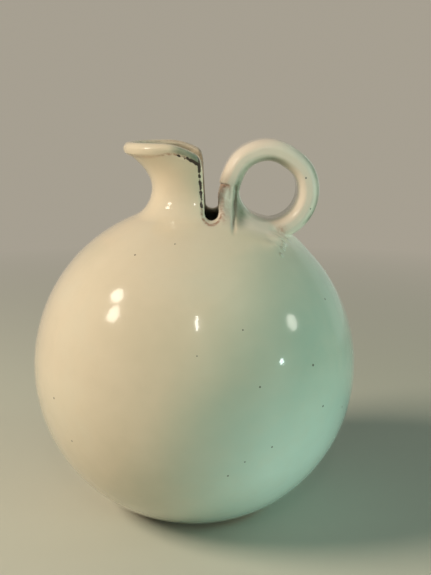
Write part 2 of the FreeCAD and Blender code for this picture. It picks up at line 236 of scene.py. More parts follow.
# Smears of slip: lean from the axis, turn about it, radius, and how far they stand out.
BUMPS = (
    (0.60, -0.52, 12.0, 0.8),
    (0.65, -0.70, 15.0, 0.5),
    (0.61, 0.50, 12.0, 0.7),
)
# Droplets of glaze on them: lean, turn and radius.
DROPLETS = (
    (0.63, -0.32, 1.9),
    (0.64, -0.49, 1.6),
    (0.655, -0.54, 1.2),
    (0.67, -0.59, 1.4),
    (0.71, -0.69, 1.2),
    (0.62, 0.40, 1.6),
    (0.66, 0.52, 1.2),
)
PAD_DEPTH = GLOBE_R + PAD_RISE - PAD_R - PAD_SETTLE
PAD_AT = (PAD_DEPTH * math.sin(LEAN), 0.0, CENTRE_Z + PAD_DEPTH * math.cos(LEAN))


def pad(x, y, z):
    """Distance to the ball that gives the luted pad its low dome."""
    return np.sqrt((x - PAD_AT[0]) ** 2 + (y - PAD_AT[1]) ** 2 + (z - PAD_AT[2]) ** 2) - PAD_R


def ball_point(reach, lean, turn):
    """A point this far from the globe's middle, leaning off the axis and turned about it."""
    flat = reach * math.sin(lean)
    return flat * math.cos(turn), flat * math.sin(turn), CENTRE_Z + reach * math.cos(lean)


def bumps(x, y, z):
    """Low smears of slip below the strap's landing."""
    near = np.full(np.shape(x), 9.0)
    for lean, turn, radius, rise in BUMPS:
        cx, cy, cz = ball_point(GLOBE_R + rise - radius, lean, turn)
        near = np.minimum(near, np.sqrt((x - cx) ** 2 + (y - cy) ** 2 + (z - cz) ** 2) - radius)
    return near


def skin(p):
    """Distance to the fired jug's whole surface: all its parts, luted and softened by the glaze."""
    x, y, z = p[..., 0], p[..., 1], p[..., 2]
    outer = trunk(x, y, z, 0)
    bore = trunk(x, y, z, 1)
    wall = smax(np.maximum(outer, -bore), over_bead(x, y, z)[0], 0.5)
    wall = smin(wall, bead(x, y, z), 2.2)
    wall = smax(wall, strip_trim(x, y, z), 1.2)
    wall = smax(wall, slot_face(x, z), 4.2)
    deep = -(outer + 3 + 2 * np.maximum(z - 222, 0))
    ring = np.maximum(strap(x, y, z), deep)
    ring = smax(ring, -np.maximum(bore, z - STRAP_START_Z), 2.0)
    mound = np.maximum(pad(x, y, z), -(outer + 3))
    mound = smin(smin(wall, mound, 2.0), bumps(x, y, z), 2.6)
    soft = 1.4 + 3.4 * (ramp(x, 26, 36) - ramp(x, 50, 58))
    groove = GROOVE_DEPTH * strip_groove(x, z) * ramp(outer, -3, -1) * (x > SLOT_R)
    return smin(mound, ring, soft) + groove


def gradient(field, p, h=0.05):
    """The direction in which a distance grows, at each point."""
    g = np.empty_like(p)
    for axis in range(3):
        step = np.zeros(3)
        step[axis] = h
        g[:, axis] = (field(p + step) - field(p - step)) / (2 * h)
    return g


def settle(p, rounds=4):
    """Moves points straight onto the skin."""
    for _ in range(rounds):
        g = gradient(skin, p)
        p = p - (skin(p) / np.maximum((g * g).sum(1), 0.05))[:, None] * g
    return p


CORNERS = tuple((i, j, k) for i in (0, 1) for j in (0, 1) for k in (0, 1))


def crossed_cells(inside, counts):
    """The grid cells that the skin crosses, and a grid of their numbers with -1 elsewhere."""
    total = 0
    for corner in CORNERS:
        window = tuple(slice(o, n - 1 + o) for o, n in zip(corner, counts))
        total = total + inside[window].astype(int)
    cells = np.argwhere((total > 0) & (total < CELL_CORNERS))
    number = np.full(tuple(counts - 1), -1)
    number[tuple(cells.T)] = np.arange(len(cells))
    return cells, number


def edge_crossings(f, cells):
    """The sum of the places where the skin crosses each cell's edges, and how many there are."""
    points = np.zeros((len(cells), 3))
    hits = np.zeros(len(cells))
    for a in CORNERS:
        for axis in range(3):
            if a[axis]:
                continue
            b = tuple(o + (n == axis) for n, o in enumerate(a))
            fa = f[tuple((cells + a).T)]
            fb = f[tuple((cells + b).T)]
            cross = (fa < 0) != (fb < 0)
            t = np.where(cross, fa / np.where(fa == fb, 1, fa - fb), 0)
            spot = cells + np.array(a, float)
            spot[:, axis] += t
            points += np.where(cross[:, None], spot, 0)
            hits += cross
    return points, hits


def quads_along(inside, number, counts, axis):
    """A quad round each crossed grid edge that lies along this axis."""
    u, v = (axis + 1) % 3, (axis + 2) % 3
    here = np.moveaxis(inside, axis, 0)
    change = np.moveaxis(here[1:] != here[:-1], 0, axis)
    spots = np.argwhere(change)
    ok = (spots[:, u] > 0) & (spots[:, v] > 0)
    ok &= (spots[:, u] < counts[u] - 1) & (spots[:, v] < counts[v] - 1)
    spots = spots[ok]
    ring = []
    for du, dv in ((-1, -1), (0, -1), (0, 0), (-1, 0)):
        cell = spots.copy()
        cell[:, u] += du
        cell[:, v] += dv
        ring.append(number[tuple(cell.T)])
    ring = np.stack(ring, 1)
    flip = ~inside[tuple(spots.T)]
    ring[flip] = ring[flip, ::-1]
    return ring


def surface_net(low, high, step):
    """Points and quads of the skin inside a box, one point to each grid cell that it crosses."""
    counts = np.ceil((high - low) / step).astype(int) + 1
    axes = [low[a] + step * np.arange(counts[a]) for a in range(3)]
    grid = np.stack(np.meshgrid(*axes, indexing="ij"), -1)
    f = np.concatenate([skin(slab) for slab in np.array_split(grid, GRID_SLABS)])
    inside = f < 0
    cells, number = crossed_cells(inside, counts)
    points, hits = edge_crossings(f, cells)
    quads = [quads_along(inside, number, counts, axis) for axis in range(3)]
    return low + step * points / hits[:, None], np.concatenate(quads)


def triangles_of(points, quads):
    """Each quad cut along its shorter diagonal."""
    a = ((points[quads[:, 0]] - points[quads[:, 2]]) ** 2).sum(1)
    b = ((points[quads[:, 1]] - points[quads[:, 3]]) ** 2).sum(1)
    turn = np.where((a <= b)[:, None], quads, np.roll(quads, -1, 1))
    return np.concatenate([turn[:, [0, 1, 2]], turn[:, [0, 2, 3]]])


def slice_along(points, faces, values, chosen):
    """Cuts each chosen face that values changes sign over, so that its zero line runs along edges."""
    left_alone, faces = faces[~chosen], faces[chosen]
    values = np.where(np.abs(values) < 1e-4, 1e-4, values)
    side = values > 0
    pairs = np.concatenate([faces[:, [0, 1]], faces[:, [1, 2]], faces[:, [2, 0]]])
    split = side[pairs[:, 0]] != side[pairs[:, 1]]
    keys = np.sort(pairs, 1)
    cut, number = np.unique(keys[split], axis=0, return_inverse=True)
    if not len(cut):
        return points, np.concatenate([left_alone, faces])
    t = values[cut[:, 0]] / (values[cut[:, 0]] - values[cut[:, 1]])
    fresh = settle(points[cut[:, 0]] + t[:, None] * (points[cut[:, 1]] - points[cut[:, 0]]), 2)
    middle = np.full(len(pairs), -1)
    middle[split] = number.ravel() + len(points)
    middle = middle.reshape(3, -1).T
    whole = (middle < 0).all(1)
    made = [left_alone, faces[whole]]
    for lone in range(3):
        a, b, c = lone, (lone + 1) % 3, (lone + 2) % 3
        pick = (middle[:, a] >= 0) & (middle[:, c] >= 0) & (middle[:, b] < 0)
        f, m = faces[pick], middle[pick]
        made.append(np.stack([f[:, a], m[:, a], m[:, c]], 1))
        made.append(np.stack([m[:, a], f[:, b], f[:, c]], 1))
        made.append(np.stack([m[:, a], f[:, c], m[:, c]], 1))
    return np.concatenate([points, fresh]), np.concatenate(made)


PIECES = ("globe", "neck", "spout", "lip_bead", "back_strip", "handle_ring", "handle_web",
          "luting_pad")
# How far off the thrown form the handle begins, and off the strap the pad, in millimetres.
LIFT = 0.1
PAD_CLEAR = 0.4


def root_side(x, y, z):
    """Positive on the neck's side of the cone where it leaves the globe."""
    return (z - CENTRE_Z) * ROOT_TAN - np.hypot(x, y)


def handle_side(x, y, z):
    """Positive on the clay that stands outside the thrown form or above the cut-down strip."""
    return np.maximum(trunk(x, y, z, 0) - LIFT, z - STRAP_START_Z)


def web_side(x, y, z):
    """Negative in the quarter of the handle that the web fills."""
    return np.maximum(z - RING_Z, x - RING_X)


def in_handle(x, y, z):
    """Whether a point is on ring, web or pad."""
    return (x >= SLOT_X) & (z > SKIN_LOW_Z) & (handle_side(x, y, z) > 0)


# Where the parts meet: a signed value, and the faces that its zero line cuts.
CUTS = (
    (lambda x, y, z: z - SKIN_LOW_Z, lambda x, y, z: z > 0),
    (root_side, lambda x, y, z: z > 0),
    (lambda x, y, z: z - WAIST_Z, lambda x, y, z: x < SLOT_X),
    (lambda x, y, z: z - LIP_Z, lambda x, y, z: x < SLOT_X),
    (lambda x, y, z: z - SLOT_END_Z, lambda x, y, z: x >= SLOT_X),
    (handle_side, lambda x, y, z: x >= SLOT_X),
    (web_side, in_handle),
    (lambda x, y, z: strap(x, y, z) - PAD_CLEAR,
     lambda x, y, z: in_handle(x, y, z) & (web_side(x, y, z) > 0) & (z < RING_Z)),
)


def piece_of(p):
    """The number in PIECES of the part that each point of the skin belongs to."""
    x, y, z = p.T
    left = x < SLOT_X
    handle = in_handle(x, y, z)
    off_strap = (strap(x, y, z) > PAD_CLEAR) & (z < RING_Z)
    name = np.where(root_side(x, y, z) > 0, 1, 0)
    name = np.where(left & (z > WAIST_Z), 2, name)
    name = np.where(left & (z > LIP_Z), 3, name)
    name = np.where(~left & (z > SLOT_END_Z), 4, name)
    name = np.where(handle, 5, name)
    name = np.where(handle & off_strap, 7, name)
    return np.where(handle & (web_side(x, y, z) < 0), 6, name)


def lathe(profile, segments):
    """A closed (r, z) outline turned about the axis, as points and triangles."""
    turn = np.linspace(0, 2 * math.pi, segments, endpoint=False)
    r, z = np.array(profile).T
    points = np.stack([np.outer(r, np.cos(turn)), np.outer(r, np.sin(turn)),
                       np.outer(z, np.ones(segments))], -1).reshape(-1, 3)
    rows, columns = np.meshgrid(np.arange(len(r) - 1), np.arange(segments), indexing="ij")
    a = (rows * segments + columns).ravel()
    b = (rows * segments + (columns + 1) % segments).ravel()
    return points, np.stack([a, a + segments, b + segments, b], 1)


def sphere_row(radius, z):
    """The point (r, z) of a sphere about the globe's middle at this height."""
    return math.sqrt(radius ** 2 - (z - CENTRE_Z) ** 2), z


def sphere_lean(radius, z):
    """The angle over the level at which such a sphere has this height."""
    return math.asin((z - CENTRE_Z) / radius)


def sphere_rows(radius, z_from, z_to, count):
    """Points (r, z) down or up a sphere about the globe's middle."""
    leans = np.linspace(sphere_lean(radius, z_from), sphere_lean(radius, z_to), count)
    return [(radius * math.cos(a), CENTRE_Z + radius * math.sin(a)) for a in leans]


def globe_bowl():
    """The globe below the skin's box, with its flat floor inside, and its count of outer rows."""
    floor = FOOT_H + FLOOR_T
    outside = sphere_rows(GLOBE_R, SKIN_LOW_Z, FOOT_H, BOWL_ROWS_OUT)
    inside = sphere_rows(GLOBE_R - GLOBE_WALL, floor, SKIN_LOW_Z, BOWL_ROWS_IN)
    points, quads = lathe(outside + [(AXIS_R, FOOT_H), (AXIS_R, floor)] + inside, BOWL_SEGMENTS)
    return points, quads, len(outside)


def make_piece(name, points, faces, normals, material, extra=None):
    """A smooth mesh from points in millimetres, with its normals and marks where it has any."""
    mesh = bpy.data.meshes.new(name)
    mesh.from_pydata((points * MM).tolist(), [], faces)
    mesh.validate()
    mesh.update()
    for face in mesh.polygons:
        face.use_smooth = True
    if normals is not None:
        mesh.normals_split_custom_set_from_vertices(normals.tolist())
    for key, values in (extra or {}).items():
        layer = mesh.attributes.new(key, "FLOAT", "POINT")
        layer.data.foreach_set("value", np.ascontiguousarray(values, dtype=np.float32))
    mesh.materials.append(material)
    obj = bpy.data.objects.new(name, mesh)
    bpy.context.collection.objects.link(obj)
    return obj


def used_only(faces):
    """The numbers of the points that some faces use, and the faces numbered over those alone."""
    used, back = np.unique(faces, return_inverse=True)
    return used, back.reshape(faces.shape)


def jug_skin():
    """The jug's upper skin, cut into its parts: {piece name: (points, faces)}."""
    low = np.array([-SKIN_REACH_LEFT, -SKIN_REACH_LEFT, SKIN_LOW_Z - 3 * STEP])
    high = np.array([SKIN_REACH_RIGHT, SKIN_REACH_LEFT, TOP_Z + SKIN_HEADROOM])
    points, quads = surface_net(low, high, STEP)
    points = settle(points)
    faces = triangles_of(points, quads)
    for value, where in CUTS:
        middle = points[faces].mean(1)
        points, faces = slice_along(points, faces, value(*points.T), where(*middle.T))
    middle = points[faces].mean(1)
    keep = middle[:, 2] > SKIN_LOW_Z
    faces, middle = faces[keep], middle[keep]
    label = piece_of(middle)
    made = {}
    for number, name in enumerate(PIECES):
        used, own = used_only(faces[label == number])
        made[name] = (points[used], own)
    return made


def unit(v):
    """Each row at length 1."""
    return v / np.maximum(np.linalg.norm(v, axis=1), 1e-9)[:, None]


def slot_line(x, y, z):
    """A line just off the slot's edges on the outside, where the glaze pulls away."""
    on_front = np.exp(-(np.abs(trunk(x, y, z, 0)) / 1.1) ** 2)
    return 1.25 * hill(-slot_face(x, z), 1.8, 0.9) * on_front * (z < STRAP_START_Z + 22)


def bead_marks(x, y, z):
    """The rim's worn crest, the line under its bead, and the dark green on the bead by the slot:
    pooled glaze and painted shade.
    """
    up, half = over_bead(x, y, z)
    left = x < SLOT_X
    plan = mouth_plan(x, y, NECK_R + SPOUT_REACH - NECK_WALL, NECK_R + SIDE_FLARE - NECK_WALL)
    crest = hill(up, half * 0.55, 1.3) * hill(plan, 0, 0.9) * ramp(z, LIP_Z - 9, LIP_Z - 6) * left
    front = ramp(trunk(x, y, z, 0), -2.4, -0.6) * left * ramp(z, WAIST_Z + 8, WAIST_Z + 12)
    below = hill(up, -half - 0.4, 1.0) * front
    # Pooled glaze and painted shade on the bead by the slot.
    pool_and_shade = front * ramp(x, -17, -7) * ramp(half * 1.05 - np.abs(up), 0, 0.8)
    return crest, below, pool_and_shade


def strip_marks(x, z):
    """The strip's bare edge, the painted shade under the strap's lobe in bare-edge brown, and the
    strip's pink streaks with a wider painted warm light.
    """
    right = x > SLOT_X
    edge = hill(x, 16.9, 0.8) * ramp(z, 219, 223) * (z < STRAP_START_Z) * right
    # Painted shade under the strap's lobe.
    painted_shade_under_lobe = hill(z, STRAP_START_Z - 0.4, 1.5) * ramp(x, 16, 18) * (1 - ramp(x, 23, 26))
    on_strip = ramp(z, 210, 216) * (z < STRAP_START_Z) * right
    # Pink streaks, and a wider painted warm light over the strip.
    streak_and_painted_light = (0.8 * hill(x, 19.8 - 0.05 * (z - 224), 1.2) + 0.5 * hill(x, 22, 4)) * on_strip
    return edge, painted_shade_under_lobe, streak_and_painted_light


def painted_shade(x, y, z):
    """Dark bands on ring and web, set to the photo: likely its shadow and reflections, not glaze."""
    turn = np.arctan2(z - RING_Z, x - RING_X)
    across = np.hypot(x - RING_X, z - RING_Z) - RING_MID
    near_sides = ramp(np.abs(y), 8, 12)
    on_strap = ramp(x, 24, 28) * ramp(z, 206, 212) * near_sides
    inner_band = ramp(-across, 2.4, 5.6) * ramp(np.cos(turn - 2.3), -0.1, 0.7)
    outer_band = ramp(across, 3.0, 6.2) * ramp(np.cos(turn + 0.15), 0.2, 0.8)
    inner_face = ramp(-across, 6.0, 7.4) * ramp(np.cos(turn + 1.0), -0.3, 0.4)
    web_front = hill(x, 32, 4.5) * ramp(z, 207, 213) * (1 - ramp(z, 232, 240)) * near_sides
    bands = np.maximum(0.75 * inner_band, 0.95 * outer_band)
    return on_strap * bands + 0.95 * web_front + 0.5 * inner_face * (x > SLOT_R)


def glaze_marks(p):
    """Where the glaze thins, crawls, pools or blushes, and where shade and warm light are painted on:
    one value from 0 to 1 for each point.
    """
    x, y, z = p.T
    left, right = x < SLOT_X, x > SLOT_X
    line = slot_line(x, y, z)
    crest, below_bead, pool_and_shade = bead_marks(x, y, z)
    strip_edge, painted_shade_under_lobe, streak_and_painted_light = strip_marks(x, z)
    round_end = line * ramp(z, 205, 209) * (1 - ramp(z, 220, 226))
    brown = below_bead * ramp(x, -26, -18) * (1 - ramp(x, -9, -4))
    crawl = line * left * ramp(z, 218, 225) + below_bead * ramp(x, -16, -5)
    landing = np.exp(-((x - 60) ** 2 + (np.abs(y) - 17) ** 2 + (z - 204) ** 2) / 14)
    # Darkens the neck's bore, which is in shade in the photo.
    bore = ramp(-trunk(x, y, z, 0), 3.5, 5.0) * (z < WAIST_Z + 6) * (strap(x, y, z) > 2)
    # Painted shade on the ring, the web and the strip's groove.
    dark = np.maximum(painted_shade(x, y, z), 0.8 * strip_groove(x, z) * right)
    return {
        # Bare edges, with painted shade under the strap's lobe.
        "thin_and_shade": np.clip(round_end + 0.8 * (crest + strip_edge + painted_shade_under_lobe + brown), 0, 1),
        "crawl": np.clip(crawl, 0, 1),
        # Pooled glaze on the bead, and painted shade in the bore, the groove and the ring's bands.
        "pool_and_shade": np.clip(pool_and_shade + 0.4 * bore + dark, 0, 1),
        # Paler handle and strip: partly the glaze's own colour, partly painted key light.
        "handle": ramp(x, 15, 18) * ramp(z + 0.35 * (x - 30), 204, 214),
        # Pink blushes and streaks, and painted warm light on the strip.
        "blush_and_painted_light": np.clip(streak_and_painted_light + landing + 0.5 * below_bead, 0, 1),
    }


class Graph:
    """Short calls for making and wiring a material's nodes."""

    def __init__(self, name):
        self.material = bpy.data.materials.new(name)
        self.material.use_nodes = True
        self.nodes = self.material.node_tree.nodes
        self.links = self.material.node_tree.links
        self.shader = self.nodes["Principled BSDF"]
        self.at = self.nodes.new("ShaderNodeTexCoord").outputs["Object"]

    def put(self, socket, value):
        """Wires a socket, or sets it to a plain value."""
        if hasattr(value, "is_linked"):
            self.links.new(value, socket)
        else:
            socket.default_value = value

    def math(self, kind, a, b=0.0, clamp=False):
        node = self.nodes.new("ShaderNodeMath")
        node.operation = kind
        node.use_clamp = clamp
        self.put(node.inputs[0], a)
        self.put(node.inputs[1], b)
        return node.outputs[0]

    def noise(self, scale, detail, rough):
        node = self.nodes.new("ShaderNodeTexNoise")
        self.put(node.inputs["Vector"], self.at)
        self.put(node.inputs["Scale"], scale)
        self.put(node.inputs["Detail"], detail)
        self.put(node.inputs["Roughness"], rough)
        return node.outputs["Fac"]

    def cells(self, scale):
        node = self.nodes.new("ShaderNodeTexVoronoi")
        self.put(node.inputs["Vector"], self.at)
        self.put(node.inputs["Scale"], scale)
        return node.outputs["Distance"], node.outputs["Color"]

    def span(self, value, low, high, to_low=0.0, to_high=1.0):
        node = self.nodes.new("ShaderNodeMapRange")
        self.put(node.inputs["Value"], value)
        for key, number in (("From Min", low), ("From Max", high),
                            ("To Min", to_low), ("To Max", to_high)):
            node.inputs[key].default_value = number
        return node.outputs["Result"]

    def mix(self, share, a, b):
        node = self.nodes.new("ShaderNodeMix")
        node.data_type = "RGBA"
        self.put(node.inputs["Factor"], share)
        colours = [i for i in node.inputs if i.type == "RGBA"]
        self.put(colours[0], a)
        self.put(colours[1], b)
        return [o for o in node.outputs if o.type == "RGBA"][0]

    def mark(self, name):
        node = self.nodes.new("ShaderNodeAttribute")
        node.attribute_name = name
        return node.outputs["Fac"]

    def axis(self, name):
        node = self.nodes.new("ShaderNodeSeparateXYZ")
        self.put(node.inputs[0], self.at)
        return node.outputs[name]

    def spot(self, centre, radius, soft=0.25):
        """1 inside a small ball round this point in millimetres, 0 outside, with a soft edge."""
        node = self.nodes.new("ShaderNodeVectorMath")
        node.operation = "DISTANCE"
        self.put(node.inputs[0], self.at)
        node.inputs[1].default_value = [c * MM for c in centre]
        outside, inside = radius * (1 + soft) * MM, radius * (1 - soft) * MM
        return self.span(node.outputs["Value"], outside, inside)

    def bump(self, height, depth, strength=1.0, normal=None):
        node = self.nodes.new("ShaderNodeBump")
        node.inputs["Distance"].default_value = depth
        node.inputs["Strength"].default_value = strength
        self.put(node.inputs["Height"], height)
        if normal is not None:
            self.put(node.inputs["Normal"], normal)
        return node.outputs["Normal"]


# The five tints down to PALE were set to match the photo and hold part of its coloured light.
# A near-white of about (0.80, 0.76, 0.67) is the better guess at the glaze's own colour.
CREAM = (0.78, 0.70, 0.555, 1)
WARM = (0.80, 0.675, 0.51, 1)
# Painted shade and painted green light for the right side.
PAINTED_GREEN_SHADE = (0.33, 0.48, 0.40, 1)
# Painted light from below.
PAINTED_LIGHT_FROM_BELOW = (0.70, 0.86, 0.80, 1)
# Partly the glaze's own colour, partly painted key light on the handle and strip.
PALE = (0.90, 0.79, 0.68, 1)
# Pooled glaze and painted shade.
POOLED_AND_SHADE = (0.19, 0.24, 0.165, 1)
# Bare edge, also used for painted shade under the strap's lobe.
BARE_EDGE_AND_SHADE = (0.36, 0.17, 0.10, 1)
# Pink blushes, also used for painted warm light on the strip.
BLUSH_AND_WARM_LIGHT = (0.60, 0.34, 0.24, 1)
CRAWL = (0.030, 0.018, 0.012, 1)
SPECK = (0.07, 0.055, 0.045, 1)
STREAK = (0.66, 0.58, 0.44, 1)
CLAY_DARK = (0.40, 0.25, 0.15, 1)
CLAY_LIGHT = (0.56, 0.39, 0.25, 1)
IRON = (0.13, 0.075, 0.045, 1)
STRAP_SPECK_R = 0.6
DROPLET_LIFT = 0.8
DROPLET_SOFT = 0.9
GLAZE_IOR = 1.5
COAT_WEIGHT = 0.7
COAT_ROUGHNESS = 0.03

# Iron specks on the ball: turn about the axis and height over the middle in degrees, radius in mm.
GLOBE_SPECKS = (
    (-100.0, 57.5, 0.5), (-120.4, 51.6, 0.6), (-28.5, 30.2, 0.7), (-72.2, 26.3, 0.5),
    (-47.3, 11.9, 0.8), (-68.4, 8.7, 0.6), (-43.1, -2.6, 0.7), (-28.8, -7.4, 0.6),
    (-63.6, -11.8, 0.6), (-134.2, -14.4, 0.6), (-141.2, -1.1, 0.7), (-87.9, 19.2, 0.4),
    (-77.8, -20.8, 0.6), (-72.6, -15.8, 0.5),
)
STRAP_SPECKS = ((76.1, -17.2, 240.0), (80.0, -17.0, 219.0), (72.2, -17.0, 205.3))


def speck_mask(graph):
    """The jug's own specks, and a sparse scatter of finer ones all over."""
    distance, colour = graph.cells(58.0)
    pick = graph.math("GREATER_THAN", colour, 0.62)
    fine = graph.math("MULTIPLY", graph.span(distance, 0.026, 0.014), pick)
    for turn, height, radius in GLOBE_SPECKS:
        a, h = math.radians(turn), math.radians(height)
        centre = (GLOBE_R * math.cos(h) * math.cos(a), GLOBE_R * math.cos(h) * math.sin(a),
                  CENTRE_Z + GLOBE_R * math.sin(h))
        fine = graph.math("MAXIMUM", fine, graph.spot(centre, radius))
    for centre in STRAP_SPECKS:
        fine = graph.math("MAXIMUM", fine, graph.spot(centre, STRAP_SPECK_R))
    return fine


def droplet_height(graph):
    """Small domes of glaze round the strap's landing."""
    height = 0.0
    for lean, turn, radius in DROPLETS:
        centre = ball_point(GLOBE_R + DROPLET_LIFT, lean, turn)
        height = graph.math("MAXIMUM", height, graph.spot(centre, radius, DROPLET_SOFT))
    return height


def body_colour(g, clouds):
    """Cream that turns green to the right, along the edge of the photo's warm light, and bluer low.

    This paints some of the photo's coloured light into the glaze.
    """
    # Painted shade and painted green light: the green share grows to the right, past the edge of the
    # warm key light, and falls off up the neck.
    across = g.math("SUBTRACT", g.axis("X"), g.math("MULTIPLY", g.axis("Z"), 0.55))
    green_shade_share = g.math("ADD", g.span(across, -0.085, 0.0), g.span(clouds, 0.3, 0.7, -0.2, 0.2))
    green_shade_share = g.math("SUBTRACT", green_shade_share, g.span(g.axis("Z"), 0.195, 0.222, 0.0, 0.75))
    colour = g.mix(g.span(clouds, 0.35, 0.65), CREAM, WARM)
    colour = g.mix(g.math("MULTIPLY", green_shade_share, 0.82, True), colour, PAINTED_GREEN_SHADE)
    # Painted light from below: lighter and bluer low on the right.
    low = g.math("MULTIPLY", g.span(g.axis("Z"), 0.13, 0.06), g.span(g.axis("X"), -0.02, 0.05))
    colour = g.mix(g.math("MULTIPLY", low, 0.8), colour, PAINTED_LIGHT_FROM_BELOW)
    # Painted key light, with the glaze's own paler colour, on the handle and strip.
    return g.mix(g.math("MULTIPLY", g.mark("handle"), 0.9), colour, PALE)


def marked_colour(g, colour):
    """The marks laid over the body's colour, painted shade and warm light among them, and the shares
    of bare edge, with painted shade under the lobe, and of crawled glaze.
    """
    streaks = g.noise(90.0, 4.0, 0.6)
    rough = g.noise(420.0, 2.0, 0.6)
    colour = g.mix(g.span(streaks, 0.45, 0.8, 0.0, 0.14), colour, STREAK)
    # Pooled glaze, and painted shade in the bore, the groove and the ring's bands.
    pool_and_shade = g.math("MULTIPLY", g.mark("pool_and_shade"), g.span(streaks, 0.25, 0.6, 0.62, 0.95))
    colour = g.mix(pool_and_shade, colour, POOLED_AND_SHADE)
    # Pink blushes, and painted warm light on the strip.
    blush_and_painted_light = g.math("MULTIPLY", g.mark("blush_and_painted_light"), g.span(rough, 0.3, 0.6, 0.25, 0.8))
    colour = g.mix(blush_and_painted_light, colour, BLUSH_AND_WARM_LIGHT)
    # Bare edges, and painted shade under the strap's lobe in the same brown.
    thin_and_shade = g.math("MULTIPLY", g.mark("thin_and_shade"), g.span(rough, 0.30, 0.62, 0.45, 1.25), True)
    thin_and_shade = g.span(thin_and_shade, 0.25, 1.0, 0.0, 0.85)
    colour = g.mix(thin_and_shade, colour, BARE_EDGE_AND_SHADE)
    breaks = g.span(g.noise(400.0, 1.0, 0.5), 0.38, 0.62, -0.38, 0.30)
    beads = g.span(g.math("ADD", g.mark("crawl"), breaks), 0.42, 0.62)
    return g.mix(beads, colour, CRAWL), thin_and_shade, beads


def glaze_material():
    """Glossy glaze in the tints of body_colour, thinning on its edges and crawled by the slot, with
    painted shade and painted warm light among its marks.
    """
    g = Graph("white_glaze")
    clouds = g.noise(14.0, 3.0, 0.55)
    colour, thin_and_shade, beads = marked_colour(g, body_colour(g, clouds))
    specks = speck_mask(g)
    colour = g.mix(g.math("MULTIPLY", specks, 0.85), colour, SPECK)
    g.put(g.shader.inputs["Base Color"], colour)
    bare = g.math("MAXIMUM", g.math("MULTIPLY", thin_and_shade, 0.5), beads)
    finish = g.math("ADD", g.span(clouds, 0.3, 0.7, 0.10, 0.17), g.math("MULTIPLY", bare, 0.25))
    g.put(g.shader.inputs["Roughness"], finish)
    g.shader.inputs["IOR"].default_value = GLAZE_IOR
    g.shader.inputs["Coat Weight"].default_value = COAT_WEIGHT
    g.shader.inputs["Coat Roughness"].default_value = COAT_ROUGHNESS
    g.shader.inputs["Coat IOR"].default_value = GLAZE_IOR
    peel = g.bump(g.noise(75.0, 2.0, 0.5), 0.00022, 0.55)
    drops = g.bump(droplet_height(g), 0.0012, 1.0, peel)
    lumps = g.bump(g.math("ADD", beads, g.math("MULTIPLY", specks, 0.4)), 0.0004, 0.6, drops)
    g.put(g.shader.inputs["Normal"], lumps)
    g.put(g.shader.inputs["Coat Normal"], lumps)
    return g.material


def clay_material():
    """Bare fired clay: warm and gritty, with darker iron grains."""
    g = Graph("bare_clay")
    body = g.noise(120.0, 5.0, 0.6)
    colour = g.mix(g.span(body, 0.3, 0.7), CLAY_DARK, CLAY_LIGHT)
    distance, tint = g.cells(700.0)
    grains = g.math("MULTIPLY", g.math("LESS_THAN", distance, 0.28),
                    g.math("GREATER_THAN", tint, 0.66))
    colour = g.mix(g.math("MULTIPLY", grains, 0.7), colour, IRON)
    g.put(g.shader.inputs["Base Color"], colour)
    g.put(g.shader.inputs["Roughness"], g.span(body, 0.3, 0.7, 0.72, 0.92))
    grit = g.bump(g.noise(1500.0, 3.0, 0.6), 0.0002, 0.7)
    g.put(g.shader.inputs["Normal"], g.bump(grains, 0.0002, 0.5, grit))
    return g.material


def bowl_normals(bowl, outer_rows):
    """Normals of the bowl's rows: out of the ball, then down, up, and into its hollow."""
    out = unit(bowl - [0, 0, CENTRE_Z])
    edge = outer_rows * BOWL_SEGMENTS
    normals = out.copy()
    normals[edge:] = -out[edge:]
    normals[edge:edge + BOWL_SEGMENTS] = (0, 0, -1)
    normals[edge + BOWL_SEGMENTS:edge + 2 * BOWL_SEGMENTS] = (0, 0, 1)
    return normals


def build_pieces(glaze):
    """Makes the glazed pieces, each on the place of its own solid."""
    for name, (points, faces) in jug_skin().items():
        normals = unit(gradient(skin, points))
        faces = faces.tolist()
        if name == "globe":
            bowl, quads, outer_rows = globe_bowl()
            start = len(points)
            points = np.concatenate([points, bowl])
            normals = np.concatenate([normals, bowl_normals(bowl, outer_rows)])
            faces += (quads + start).tolist()
        piece = make_piece(name + "_glazed", points, faces, normals, glaze, glaze_marks(points))
        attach(piece, "root")
        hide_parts(name)


def foot_piece(clay):
    """The turned foot ring, with a soft bevel and a worn standing face."""
    inner = FOOT_R - FOOT_RIM
    steps = np.linspace(0, 1, 7)
    outer_face = [sphere_row(GLOBE_R, FOOT_BEVEL + (FOOT_H - FOOT_BEVEL) * (1 - t)) for t in steps]
    profile = [(inner, FOOT_H)] + outer_face
    profile += [(FOOT_R - FOOT_BEVEL * 0.4, FOOT_BEVEL * 0.3), (FOOT_R - FOOT_BEVEL, 0)]
    profile += [(FOOT_R - FOOT_RIM * t, 0) for t in FOOT_WEAR]
    profile += [(inner + FOOT_BEVEL, 0), (inner + FOOT_BEVEL * 0.3, FOOT_BEVEL * 0.3),
                (inner, FOOT_BEVEL), (inner, FOOT_H)]
    points, quads = lathe(profile, BOWL_SEGMENTS)
    foot = make_piece("foot_ring_clay", points, quads.tolist(), None, clay)
    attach(foot, "root")
    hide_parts("foot_ring")


BACKGROUND = (0.385, 0.350, 0.285, 1)
FLOOR_TINT = (0.60, 0.60, 0.53, 1)
FLOOR_REACH = 12.0
FADE_FROM = 0.30
FADE_TO = 1.1
AMBIENT = (0.86, 1.0, 0.88, 1)
AMBIENT_STRENGTH = 0.17
LAMP_DISTANCE = 1.5
LAMP_AIM = (0, 0, 0.13)
CAMERA_AT = (0.0150, -0.5802, 0.2927)
CAMERA_DIP = 12.86
CAMERA_LENS = 51.97
CAMERA_SENSOR = 36.0


